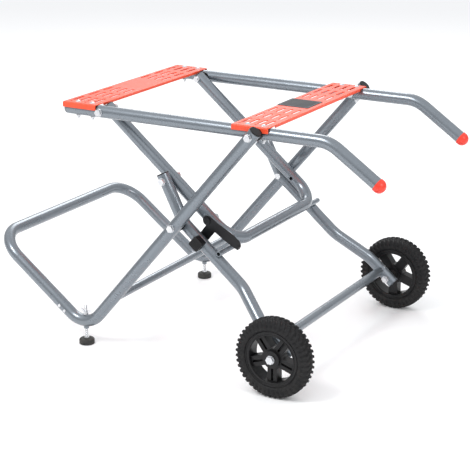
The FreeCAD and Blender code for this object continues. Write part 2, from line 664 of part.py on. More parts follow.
def leveller_pad(side):
    """Rubber pad moulded on the foot of the rod."""
    base = at_y(LEVELLER, side * FOOT_Y)
    pad = Part.makeCylinder(PAD_R, PAD_HEIGHT, base)
    crown = [e for e in pad.Edges if e.BoundBox.ZMin > PAD_HEIGHT - 1]
    pad = pad.makeFillet(PAD_CROWN, crown)
    sole = [e for e in pad.Edges if e.BoundBox.ZMax < 0.1 and e.BoundBox.XLength > PAD_R]
    pad = pad.makeFillet(PAD_SOLE, sole)
    return pad.cut(Part.makeCylinder(ROD_R, PAD_HEIGHT, base + UP * ROD_FOOT))


def wing_nut(side):
    """Wing nut that locks the rod against the top of the tube."""
    seat = CORNER_CENTRE_Z + TUBE_R + WING_NUT_GAP
    base = at_y(LEVELLER, side * FOOT_Y) + UP * seat
    boss = Part.makeCone(WING_BOSS_R, WING_BOSS_R - 1.5, WING_BOSS_HEIGHT, base)
    wings = []
    for turn in (-1, 1):
        corners = [base + Vec(turn * x, -WING_THICK / 2, z) for x, z in WING_EDGE]
        outline = Part.makePolygon(corners + corners[:1])
        wings.append(Part.Face(outline).extrude(ACROSS * WING_THICK))
    hole = Part.makeCylinder(ROD_R + RUN_CLEAR, 2 * ROD_TOP, base - UP * ROD_TOP)
    return join([boss] + wings).cut(hole)


# ---------------------------------------------------------------- wheel frame
def wheel_leg_points(side):
    """Centreline of a wheel leg: kinked at D, then stepped outboard to the wheel."""
    inboard, outboard = side * RAIL_Y, side * AXLE_LEG_Y
    return [at_y(PIVOT_C + LINK_DIR * LEG_END, inboard),
            at_y(PIVOT_D, inboard),
            at_y(PIVOT_D + WHEEL_DIR * SPLAY_START, inboard),
            at_y(PIVOT_D + WHEEL_DIR * SPLAY_END, outboard),
            at_y(AXLE + WHEEL_DIR * WHEEL_LEG_PAST, outboard)]


def wheel_leg_radii():
    """Bend radii of a wheel leg, in order."""
    return [WHEEL_LEG_RADIUS / 2, WHEEL_LEG_RADIUS, WHEEL_LEG_RADIUS]


def wheel_leg(side):
    """Wheel leg tube with its pivot, lock and axle holes."""
    y = side * RAIL_Y
    tube = tube_along(wheel_leg_points(side), wheel_leg_radii(), TUBE_R, TUBE_WALL)
    holes = [cross_pin(p, PIVOT_R + RUN_CLEAR, y - TUBE_OD, y + TUBE_OD)
             for p in (PIVOT_C, PIVOT_D)]
    if side == SIDES["front"]:
        holes.append(cross_pin(LOCK_POINT, STUD_R + FIXED_CLEAR, y - TUBE_OD, y + TUBE_OD))
    axle_y = side * AXLE_LEG_Y
    holes.append(cross_pin(AXLE, AXLE_R + FIXED_CLEAR, axle_y - TUBE_OD, axle_y + TUBE_OD))
    return tube.cut(holes)


def axle_tube():
    """Cross tube between the wheel legs just above the axles."""
    legs = [rod_along(wheel_leg_points(side), wheel_leg_radii(), TUBE_R) for side in SIDES.values()]
    return coped_bar(AXLE_TUBE_POINT, AXLE_LEG_Y, AXLE_TUBE_OD / 2, THIN_WALL, legs)


def axle_tube_screw(side):
    """Small screw in the top of a wheel leg over the cross tube, its head fitted to the tube."""
    crown = AXLE_TUBE_POINT + WHEEL_NORMAL * (TUBE_R - CAP_SCREW_SINK)
    seat = at_y(crown, side * (AXLE_LEG_Y - 3))
    leg = rod_along(wheel_leg_points(side), wheel_leg_radii(), TUBE_R)
    return Part.makeCylinder(CAP_SCREW_R, CAP_SCREW_SINK + 2.2, seat, WHEEL_NORMAL).cut(leg)


def axle_bolt(side):
    """Axle bolt: head outboard of the hub, nut end inboard of the leg."""
    head_y = side * (WHEEL_Y + HUB_WIDTH / 2 + FACE_CLEAR)
    tip_y = side * (AXLE_LEG_Y - TUBE_R - NUT_HEIGHT - BOLT_PAST)
    return flange_bolt(AXLE, AXLE_R, AXLE_HEX, head_y, tip_y, side)


def axle_nut(side):
    """Nut on the inboard face of the wheel leg."""
    face = AXLE_LEG_Y - TUBE_R
    return hex_nut_y(AXLE, AXLE_R, AXLE_HEX, side * face, side * (face - NUT_HEIGHT))


def wheel_pivot_bolt(side):
    """Bolt at D: head on the foot leg, tip past the wheel leg."""
    return flange_bolt(PIVOT_D, PIVOT_R, PIVOT_HEX, side * (FOOT_Y + TUBE_R),
                       side * (RAIL_Y - TUBE_R - FACE_CLEAR - THIN_NUT), side)


def wheel_pivot_nut(side):
    """Thin nut at D on the inboard face of the wheel leg."""
    face = RAIL_Y - TUBE_R - FACE_CLEAR
    return hex_nut_y(PIVOT_D, PIVOT_R, PIVOT_HEX, side * face, side * (face - THIN_NUT))


def pivot_spacer(point):
    """Maker for the plastic spacer between a foot leg and the tube inboard of it."""
    def make(side):
        if point == PIVOT_B:
            planes = (RAIL_Y + TUBE_R, FOOT_Y - TUBE_R - FACE_CLEAR)
        else:
            planes = (RAIL_Y + TUBE_R + FACE_CLEAR, FOOT_Y - TUBE_R)
        return ring(point, SPACER_R, PIVOT_R, side * planes[0], side * planes[1])
    return make


def inner_washer(side):
    """Plastic washer between a rail and the inner frame."""
    return ring(PIVOT_A, TUBE_R - 2, PIVOT_R, side * (RAIL_Y - TUBE_R),
                side * (INNER_Y + TUBE_R + FACE_CLEAR))


def link_bolt(side):
    """Bolt at C, held in the wheel leg; it ends short of the inner frame's nut."""
    return flange_bolt(PIVOT_C, PIVOT_R, PIVOT_HEX, side * (RAIL_Y + TUBE_R),
                       side * (INNER_Y + TUBE_R + FACE_CLEAR), side)


def lock_stud():
    """Hardened stud through the wheel leg that the latch hook holds."""
    side = SIDES["front"]
    return cross_pin(LOCK_POINT, STUD_R, side * (LATCH_Y + LATCH_THICK + 0.3),
                     side * (RAIL_Y + TUBE_R + LOCK_BLOCK_THICK - 4))


def lock_block():
    """Ribbed plastic guard over the outboard end of the lock stud."""
    side = SIDES["front"]
    half = LOCK_BLOCK / 2
    y_leg = side * (RAIL_Y + TUBE_R - 8)
    y_out = side * (RAIL_Y + TUBE_R + LOCK_BLOCK_THICK)
    low, high = min(y_leg, y_out), max(y_leg, y_out)
    corners = [LOCK_POINT + WHEEL_DIR * (a * half) + WHEEL_NORMAL * (b * half)
               for a, b in ((-1, -1), (1, -1), (1, 1), (-1, 1), (-1, -1))]
    block = Part.Face(Part.makePolygon([at_y(c, low) for c in corners])).extrude(
        ACROSS * (high - low))
    upright = [e for e in block.Edges if e.BoundBox.YLength > 5 and e.BoundBox.XLength < 1e-3]
    block = block.makeFillet(4.0, upright)
    leg = rod_along(wheel_leg_points(side), wheel_leg_radii(), TUBE_R)
    return block.cut([leg, cross_pin(LOCK_POINT, STUD_R, -400, 400)
                      .common(cross_pin(LOCK_POINT, 30, side * 200, y_out - side * 4))])


# ---------------------------------------------------------------- wheels
def revolved(profile, y):
    """Solid turned about the axle from (radius, offset) pairs."""
    points = [AXLE + Vec(r, 0, 0) for r, _ in profile]
    points = [at_y(p, y + offset) for p, (_, offset) in zip(points, profile)]
    face = Part.Face(Part.makePolygon(points + points[:1]))
    return face.revolve(at_y(AXLE, y), ACROSS, 360)


def tyre(side):
    """Solid rubber tyre with rounded shoulders, seated on the rim."""
    half, crown = TYRE_WIDTH / 2, 9.0
    y = side * WHEEL_Y
    seat = RIM_WIDTH / 2
    body = revolved([(TYRE_BEAD_R, -seat), (TYRE_BEAD_R + 6, -half), (WHEEL_R - crown, -half),
                     (WHEEL_R - 2.5, -half + 4), (WHEEL_R, -half + crown), (WHEEL_R, half - crown),
                     (WHEEL_R - 2.5, half - 4), (WHEEL_R - crown, half), (TYRE_BEAD_R + 6, half),
                     (TYRE_BEAD_R, seat)], y)
    return body


def wheel_rim(side):
    """Moulded rim: hub, five double-ridged spokes and the ring under the tyre."""
    y = side * WHEEL_Y
    ring_shape = ring(AXLE, TYRE_BEAD_R, RIM_INNER_R, y - RIM_WIDTH / 2, y + RIM_WIDTH / 2)
    hub = cross_pin(AXLE, HUB_R, y - HUB_WIDTH / 2, y + HUB_WIDTH / 2)
    web = cross_pin(AXLE, HUB_WEB_R, y - SPOKE_DEPTH / 2, y + SPOKE_DEPTH / 2)
    spokes, grooves = [], []
    for k in range(SPOKES):
        direction = heading(SPOKE_PHASE + 360 * k / SPOKES)
        across = heading(SPOKE_PHASE - 90 + 360 * k / SPOKES)
        half = SPOKE_WIDTH / 2
        inner, outer = direction * (HUB_R - 3), direction * (RIM_INNER_R + 2)
        corners = [AXLE + inner - across * half, AXLE + inner + across * half,
                   AXLE + outer + across * half, AXLE + outer - across * half]
        low = y - SPOKE_DEPTH / 2
        face = Part.Face(Part.makePolygon([at_y(c, low) for c in corners + corners[:1]]))
        spoke = face.extrude(ACROSS * SPOKE_DEPTH)
        groove_half = SPOKE_GROOVE / 2
        groove = [AXLE + direction * (HUB_WEB_R - 2) - across * groove_half,
                  AXLE + direction * (HUB_WEB_R - 2) + across * groove_half,
                  AXLE + direction * (RIM_INNER_R - 3) + across * groove_half,
                  AXLE + direction * (RIM_INNER_R - 3) - across * groove_half]
        outer_y = y + side * SPOKE_DEPTH / 2
        cut_face = Part.Face(Part.makePolygon([at_y(c, outer_y) for c in groove + groove[:1]]))
        grooves.append(cut_face.extrude(ACROSS * -side * SPOKE_GROOVE_DEPTH))
        spokes.append(spoke)
    bore = cross_pin(AXLE, BUSH_R, y - HUB_WIDTH, y + HUB_WIDTH)
    return join([ring_shape, hub, web] + spokes).cut(grooves + [bore])


def wheel_bush(side):
    """Flanged nylon bush between the hub and the axle bolt, reaching towards the leg."""
    outer = WHEEL_Y + HUB_WIDTH / 2
    inner = AXLE_LEG_Y + TUBE_R + FACE_CLEAR
    sleeve = cross_pin(AXLE, BUSH_R, side * inner, side * outer)
    collar = cross_pin(AXLE, BUSH_R + 4, side * inner, side * (WHEEL_Y - HUB_WIDTH / 2))
    return join([sleeve, collar]).cut(
        cross_pin(AXLE, AXLE_R + RUN_CLEAR, side * (inner - 5), side * (outer + 5)))


# ---------------------------------------------------------------- the stand
def plug_pair(end, direction, y, spigot=PLUG_SPIGOT):
    """Black end plugs in the two tubes of a frame."""
    return both_sides(lambda side: tube_plug(at_y(end, side * y), direction, PLUG_FACE, spigot))


def build():
    """Every node's shape by name."""
    nodes = {
        "rail_plugs": both_sides(rail_plug),
        "handle_caps": both_sides(handle_cap),
        "mount_plate_left": mount_plate(PLATE_CENTRES[0]),
        "mount_plate_right": mount_plate(PLATE_CENTRES[1]),
        "label_plate": label_plate(),
        "plate_bolts": group([plate_bolt(x, y) for x, y in plate_bolt_places()]),
        "plate_nuts": group([plate_nut(x, y) for x, y in plate_bolt_places()]),
        "inner_pivot_bolts": both_sides(pivot_bolt_top(PIVOT_A, RAIL_Y)),
        "inner_pivot_nuts": both_sides(rail_pivot_nut(PIVOT_A)),
        "inner_pivot_washers": both_sides(inner_washer),
        "foot_pivot_bolts": both_sides(pivot_bolt_top(PIVOT_B, FOOT_Y)),
        "foot_pivot_nuts": both_sides(rail_pivot_nut(PIVOT_B)),
        "foot_pivot_spacers": both_sides(pivot_spacer(PIVOT_B)),
        "inner_frame": inner_frame(),
        "inner_frame_plugs": plug_pair(PIVOT_A - INNER_DIR * INNER_LEG_END, INNER_DIR * -1, INNER_Y,
                                        SHORT_SPIGOT),
        "link_nuts": both_sides(link_nut),
        "latch_bolt": latch_bolt(),
        "latch_nut": latch_nut(),
        "latch_lever": latch_lever(),
        "stop_pins": both_sides(stop_pin),
        "foot_loop": foot_loop(),
        "foot_brace": foot_brace(),
        "foot_leg_plugs": plug_pair(PIVOT_B - FOOT_DIR * LEG_END, FOOT_DIR * -1, FOOT_Y),
        "loop_screws": group([loop_screw(s, k) for s in SIDES.values() for k in (0, 1)]),
        "leveller_nuts": both_sides(leveller_weld_nut),
        "wheel_pivot_bolts": both_sides(wheel_pivot_bolt),
        "wheel_pivot_nuts": both_sides(wheel_pivot_nut),
        "wheel_pivot_spacers": both_sides(pivot_spacer(PIVOT_D)),
        "wheel_leg_plugs": plug_pair(PIVOT_C + LINK_DIR * LEG_END, LINK_DIR, RAIL_Y),
        "axle_tube": axle_tube(),
        "axle_tube_screws": both_sides(axle_tube_screw),
        "axle_bolts": both_sides(axle_bolt),
        "axle_nuts": both_sides(axle_nut),
        "link_bolts": both_sides(link_bolt),
        "lock_stud": lock_stud(),
        "lock_block": lock_block(),
    }
    for name, side in SIDES.items():
        nodes["rail_" + name] = rail(side)
        nodes["foot_leg_" + name] = foot_leg(side)
        nodes["leveller_rod_" + name] = leveller_rod(side)
        nodes["leveller_pad_" + name] = leveller_pad(side)
        nodes["wing_nut_" + name] = wing_nut(side)
        nodes["wheel_leg_" + name] = wheel_leg(side)
        nodes["wheel_rim_" + name] = wheel_rim(side)
        nodes["wheel_tyre_" + name] = tyre(side)
        nodes["wheel_bush_" + name] = wheel_bush(side)
    return nodes


def main():
    os.makedirs("parts", exist_ok=True)
    for name, shape in build().items():
        moved = shape.copy()
        moved.translate(TO_ORIGIN)
        moved.exportStep("parts/%s.step" % name)
    places = {"A": PIVOT_A, "B": PIVOT_B, "C": PIVOT_C, "D": PIVOT_D, "axle": AXLE,
              "latch": LATCH_PIVOT, "lock": LOCK_POINT, "stop": STOP_POINT, "leveller": LEVELLER,
              "inner corner": INNER_CORNER, "loop end": LOOP_END, "foot corner": FOOT_CORNER_POINT}
    for name, point in places.items():
        print("%-12s x %9.3f  z %9.3f" % (name, (point + TO_ORIGIN).x, point.z))
    print("length %.2f  wheel track %.2f  rail spacing %.2f"
          % (STAND_RIGHT - STAND_LEFT, 2 * WHEEL_Y, 2 * RAIL_Y))


main()
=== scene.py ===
"""Looks of a folding, wheeled mitre saw stand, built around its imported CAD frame.

The frame gives every tube, plate and fastener.  This script gives each of them its finish, and adds
what only a surface can show: the moulded tread of the tyres, screw threads, weld beads and ribs.
All lengths are in metres, in the frame's own axes: +X towards the handles, +Z up, origin on the floor.
"""

import json
import logging
import math
from dataclasses import dataclass, field
from enum import Enum

import bmesh
import bpy
import numpy as np
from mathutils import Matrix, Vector

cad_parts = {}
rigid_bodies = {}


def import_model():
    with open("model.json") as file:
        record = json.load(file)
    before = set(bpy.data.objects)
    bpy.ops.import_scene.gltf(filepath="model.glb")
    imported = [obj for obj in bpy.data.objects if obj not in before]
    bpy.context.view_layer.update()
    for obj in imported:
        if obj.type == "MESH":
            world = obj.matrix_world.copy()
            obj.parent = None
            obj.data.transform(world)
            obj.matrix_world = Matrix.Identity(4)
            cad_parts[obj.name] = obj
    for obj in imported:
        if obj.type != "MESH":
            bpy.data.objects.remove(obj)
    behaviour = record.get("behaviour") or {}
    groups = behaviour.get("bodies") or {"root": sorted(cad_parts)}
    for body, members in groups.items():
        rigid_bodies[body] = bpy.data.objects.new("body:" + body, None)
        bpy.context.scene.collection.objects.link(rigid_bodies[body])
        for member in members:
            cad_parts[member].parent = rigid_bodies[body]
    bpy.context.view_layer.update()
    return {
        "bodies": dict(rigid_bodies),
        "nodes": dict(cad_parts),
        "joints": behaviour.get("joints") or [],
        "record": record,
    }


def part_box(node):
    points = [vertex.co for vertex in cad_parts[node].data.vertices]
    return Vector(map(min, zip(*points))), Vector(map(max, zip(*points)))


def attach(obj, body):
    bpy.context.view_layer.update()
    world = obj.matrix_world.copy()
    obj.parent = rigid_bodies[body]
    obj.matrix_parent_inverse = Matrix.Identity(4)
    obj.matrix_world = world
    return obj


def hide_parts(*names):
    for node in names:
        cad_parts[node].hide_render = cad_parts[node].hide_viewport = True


LOG = logging.getLogger("saw_stand")
MERGE_DISTANCE = 1e-7
RING_POINTS = 10
PATCH_HEIGHT_SHARE = 0.35
SCRATCH_TURN = (0.4, 0.3, 0.7)
SCRATCH_STRETCH = (0.12, 4.0, 4.0)
DUST_COLOUR = (0.36, 0.32, 0.27)
DUST_ROUGHENS = 0.25
LABEL_LINE_COLOUR = (0.22, 0.23, 0.25)
MIX_COLOUR_INPUTS = (6, 7)
MIX_COLOUR_OUTPUT = 2
Colour = tuple[float, float, float]
Value = float | bpy.types.NodeSocket
Paint = Colour | bpy.types.NodeSocket


class Side(Enum):
    """The two long sides of the stand; the value is the sign of Y."""

    FRONT = -1
    REAR = 1

    @property
    def word(self) -> str:
        """The side's name as the frame's nodes spell it."""
        return self.name.lower()


class Slot(Enum):
    """Material slots of the record."""

    TUBE = "tube_paint"
    PLATE = "plate_paint"
    ZINC = "zinc"
    BLACK_PLASTIC = "black_plastic"
    GREY_PLASTIC = "grey_plastic"
    CAP = "cap_plastic"
    RIM = "rim_plastic"
    TYRE = "tyre"
    PAD = "pad_rubber"
    LABEL = "label"
    DARK_STEEL = "dark_steel"


# ------------------------------------------------------------------ surfaces
@dataclass
class Surface:
    """Vertices and quads of one piece, gathered from several parametric patches."""

    points: list[np.ndarray] = field(default_factory=list)
    quads: list[np.ndarray] = field(default_factory=list)
    count: int = 0

    def add(self, grid: np.ndarray, wrap_rows: bool, wrap_columns: bool) -> None:
        """Adds a grid of points as quads.

        Args:
            grid: array (rows, columns, 3).  Row cross column direction points outwards.
            wrap_rows: joins the last row to the first.
            wrap_columns: joins the last column to the first.
        """
        rows, columns = grid.shape[:2]
        index = np.arange(rows * columns).reshape(rows, columns)
        if wrap_rows:
            index = np.concatenate([index, index[:1]], axis=0)
        if wrap_columns:
            index = np.concatenate([index, index[:, :1]], axis=1)
        corners = (index[:-1, :-1], index[1:, :-1], index[1:, 1:], index[:-1, 1:])
        self.points.append(grid.reshape(-1, 3))
        self.quads.append(np.stack(corners, axis=-1).reshape(-1, 4) + self.count)
        self.count += rows * columns

    def to_object(self, name: str) -> bpy.types.Object:
        """Makes the Blender object, smooth shaded, at the origin.

        Args:
            name: the piece's name.

        Returns:
            The new object, linked into the scene.
        """
        points = np.concatenate(self.points).astype(np.float32)
        quads = np.concatenate(self.quads).astype(np.int32)
        mesh = bpy.data.meshes.new(name)
        mesh.vertices.add(len(points))
        mesh.vertices.foreach_set("co", points.ravel())
        mesh.loops.add(quads.size)
        mesh.loops.foreach_set("vertex_index", quads.ravel())
        mesh.polygons.add(len(quads))
        mesh.polygons.foreach_set("loop_start", np.arange(0, quads.size, 4, dtype=np.int32))
        mesh.polygons.foreach_set("use_smooth", np.ones(len(quads), dtype=bool))
        mesh.update(calc_edges=True)
        self._close_poles(mesh)
        piece = bpy.data.objects.new(name, mesh)
        bpy.context.scene.collection.objects.link(piece)
        return piece

    @staticmethod
    def _close_poles(mesh: bpy.types.Mesh) -> None:
        """Merges the points that meet at a pole, so that quads there become triangles.

        Args:
            mesh: the piece's mesh, changed in place.
        """
        work = bmesh.new()
        work.from_mesh(mesh)
        bmesh.ops.remove_doubles(work, verts=work.verts, dist=MERGE_DISTANCE)
        work.to_mesh(mesh)
        work.free()
        mesh.validate()


def tapered_ends(length: int, share: float) -> np.ndarray:
    """Width factor along a bar that rises from 0, stays at 1 and falls again, as a quarter ellipse
    at each end.

    Args:
        length: number of stations.
        share: part of the bar taken by each rounded end.

    Returns:
        Array (length,) between 0 and 1.
    """
    along = np.linspace(0.0, 1.0, length)
    near = np.clip(np.minimum(along, 1.0 - along) / share, 0.0, 1.0)
    return np.sqrt(1.0 - (1.0 - near) ** 2)


def bar_along(path: np.ndarray, radius: np.ndarray, sides: int, closed: bool) -> np.ndarray:
    """Round bar along a path: each ring is the path point plus radius times (cos, sin) in two
    directions square to the path.

    Args:
        path: array (stations, 3).
        radius: array (stations,) of ring radii.
        sides: points round each ring.
        closed: whether the path is a loop.

    Returns:
        Grid (stations, sides, 3) for Surface.add.
    """
    if closed:
        tangent = np.roll(path, -1, axis=0) - np.roll(path, 1, axis=0)
    else:
        tangent = np.gradient(path, axis=0)
    tangent /= np.linalg.norm(tangent, axis=1, keepdims=True)
    helper = np.where(np.abs(tangent[:, 1:2]) < 0.8, [[0.0, 1.0, 0.0]], [[1.0, 0.0, 0.0]])
    across = np.cross(helper, tangent)
    across /= np.linalg.norm(across, axis=1, keepdims=True)
    up = np.cross(across, tangent)
    turn = np.linspace(0.0, 2 * math.pi, sides, endpoint=False)[None, :, None]
    ring = np.cos(turn) * across[:, None, :] + np.sin(turn) * up[:, None, :]
    return path[:, None, :] + radius[:, None, None] * ring


def lathe(centre: Vector, radii: np.ndarray, offsets: np.ndarray, axis: str) -> np.ndarray:
    """Surface turned about an axis through centre: point = centre + offset along the axis + radius
    times (cos, sin) of the turn.

    Args:
        centre: a point on the axis.
        radii: array (around, stations) or (1, stations) of radii.
        offsets: array (stations,) of places along the axis.
        axis: "y" or "z".

    Returns:
        Grid (around, stations, 3) for Surface.add with wrap_rows.
    """
    around = radii.shape[0]
    turn = np.linspace(0.0, 2 * math.pi, around, endpoint=False)[:, None]
    one, two = radii * np.cos(turn), radii * np.sin(turn)
    along = np.broadcast_to(offsets[None, :], one.shape)
    parts = (one, along, two) if axis == "y" else (two, one, along)
    return np.stack(parts, axis=-1) + np.array(centre)


def smooth_step(value: np.ndarray, low: float, high: float) -> np.ndarray:
    """0 below low, 1 above high, and 3t^2 - 2t^3 between.

    Args:
        value: the numbers to map.
        low: where the rise starts.
        high: where the rise ends.

    Returns:
        Array shaped as value.
    """
    t = np.clip((value - low) / (high - low), 0.0, 1.0)
    return t * t * (3.0 - 2.0 * t)


# ------------------------------------------------------------------ shader groups
class GroupMaker:
    """Builds each shared shader effect once, as a node group with named sockets."""

    def __init__(self) -> None:
        """Makes the three groups that the finishes use."""
        self.grain = self._grain()
        self.scuffs = self._scuffs()
        self.dust = self._dust()

    @staticmethod
    def _start(name: str, inputs: dict[str, float], outputs: list[str]
               ) -> tuple[bpy.types.NodeTree, bpy.types.Node, bpy.types.Node]:
        """Starts a group with a Vector input, float inputs with defaults, and float outputs.

        Args:
            name: the group's name.
            inputs: float inputs and their defaults.
            outputs: float outputs.

        Returns:
            The tree, its input node and its output node.
        """
        tree = bpy.data.node_groups.new(name, "ShaderNodeTree")
        tree.interface.new_socket("Vector", in_out="INPUT", socket_type="NodeSocketVector")
        for label, value in inputs.items():
            socket = tree.interface.new_socket(label, in_out="INPUT", socket_type="NodeSocketFloat")
            socket.default_value = value
        for label in outputs:
            tree.interface.new_socket(label, in_out="OUTPUT", socket_type="NodeSocketFloat")
        return tree, tree.nodes.new("NodeGroupInput"), tree.nodes.new("NodeGroupOutput")

    @staticmethod
    def _noise(tree: bpy.types.NodeTree, vector: bpy.types.NodeSocket, scale: Value, detail: float,
               rough: float) -> bpy.types.NodeSocket:
        """Adds a noise texture.

        Args:
            tree: the tree it goes in.
            vector: position socket.
            scale: number or socket.
            detail: octaves.
            rough: share kept by each octave.

        Returns:
            The noise's value socket.
        """
        noise = tree.nodes.new("ShaderNodeTexNoise")
        noise.inputs["Detail"].default_value = detail
        noise.inputs["Roughness"].default_value = rough
        tree.links.new(vector, noise.inputs["Vector"])
        if isinstance(scale, (int, float)):
            noise.inputs["Scale"].default_value = scale
        else:
            tree.links.new(scale, noise.inputs["Scale"])
        return noise.outputs["Fac"]

    @staticmethod
    def _remap(tree: bpy.types.NodeTree, value: bpy.types.NodeSocket, low: float,
               high: float) -> bpy.types.NodeSocket:
        """Stretches low..high to 0..1, clamped.

        Args:
            tree: the tree it goes in.
            value: socket to stretch.
            low: value that becomes 0.
            high: value that becomes 1.

        Returns:
            The stretched socket.
        """
        remap = tree.nodes.new("ShaderNodeMapRange")
        remap.inputs["From Min"].default_value = low
        remap.inputs["From Max"].default_value = high
        tree.links.new(value, remap.inputs["Value"])
        return remap.outputs["Result"]

    @staticmethod
    def calculate(tree: bpy.types.NodeTree, operation: str, one: Value,
                  two: Value) -> bpy.types.NodeSocket:
        """Adds a math node.

        Args:
            tree: the tree it goes in.
            operation: the math node's operation.
            one: first number or socket.
            two: second number or socket.

        Returns:
            The result socket.
        """
        node = tree.nodes.new("ShaderNodeMath")
        node.operation = operation
        for socket, value in zip(node.inputs, (one, two)):
            if isinstance(value, (int, float)):
                socket.default_value = value
            else:
                tree.links.new(value, socket)
        return node.outputs[0]

    def _grain(self) -> bpy.types.NodeTree:
        """Fine grain and broad patches: two noises, and a height that sums them.

        Returns:
            The group's tree.
        """
        tree, start, end = self._start(
            "surface_grain", {"Fine Scale": 900.0, "Patch Scale": 12.0}, ["Fine", "Patch", "Height"])
        vector = start.outputs["Vector"]
        fine = self._noise(tree, vector, start.outputs["Fine Scale"], 3.0, 0.55)
        patch = self._noise(tree, vector, start.outputs["Patch Scale"], 5.0, 0.6)
        tree.links.new(self._remap(tree, fine, 0.3, 0.7), end.inputs["Fine"])
        tree.links.new(self._remap(tree, patch, 0.32, 0.68), end.inputs["Patch"])
        height = self.calculate(tree, "ADD", fine, self.calculate(
            tree, "MULTIPLY", patch, PATCH_HEIGHT_SHARE))
        tree.links.new(height, end.inputs["Height"])
        return tree

    def _scuffs(self) -> bpy.types.NodeTree:
        """Thin scratches: noise stretched along one way and cut at its peaks, broken up by a
        broader noise.

        Returns:
            The group's tree.
        """
        tree, start, end = self._start("handling_scuffs", {"Scale": 40.0, "Amount": 0.5}, ["Mask"])
        mapping = tree.nodes.new("ShaderNodeMapping")
        mapping.inputs["Rotation"].default_value = SCRATCH_TURN
        mapping.inputs["Scale"].default_value = SCRATCH_STRETCH
        tree.links.new(start.outputs["Vector"], mapping.inputs["Vector"])
        lines = self._noise(tree, mapping.outputs["Vector"], start.outputs["Scale"], 2.0, 0.5)
        broken = self._noise(tree, start.outputs["Vector"], 22.0, 4.0, 0.6)
        mask = self.calculate(tree, "MULTIPLY", self._remap(tree, lines, 0.66, 0.72),
                          self._remap(tree, broken, 0.5, 0.68))
        tree.links.new(self.calculate(tree, "MULTIPLY", mask, start.outputs["Amount"]),
                       end.inputs["Mask"])
        return tree

    def _dust(self) -> bpy.types.NodeTree:
        """Workshop dust: strongest near the floor, fading upwards, and patchy.

        Returns:
            The group's tree.
        """
        tree, start, end = self._start("floor_dust", {"Top": 0.25, "Amount": 0.4}, ["Mask"])
        split = tree.nodes.new("ShaderNodeSeparateXYZ")
        tree.links.new(start.outputs["Vector"], split.inputs["Vector"])
        low = self.calculate(tree, "DIVIDE", split.outputs["Z"], start.outputs["Top"])
        fade = self.calculate(tree, "SUBTRACT", 1.0, low)
        clamp = tree.nodes.new("ShaderNodeClamp")
        tree.links.new(fade, clamp.inputs["Value"])
        patch = self._remap(tree, self._noise(tree, start.outputs["Vector"], 60.0, 6.0, 0.7), 0.4, 0.75)
        mask = self.calculate(tree, "MULTIPLY", clamp.outputs[0], patch)
        tree.links.new(self.calculate(tree, "MULTIPLY", mask, start.outputs["Amount"]),
                       end.inputs["Mask"])
        return tree


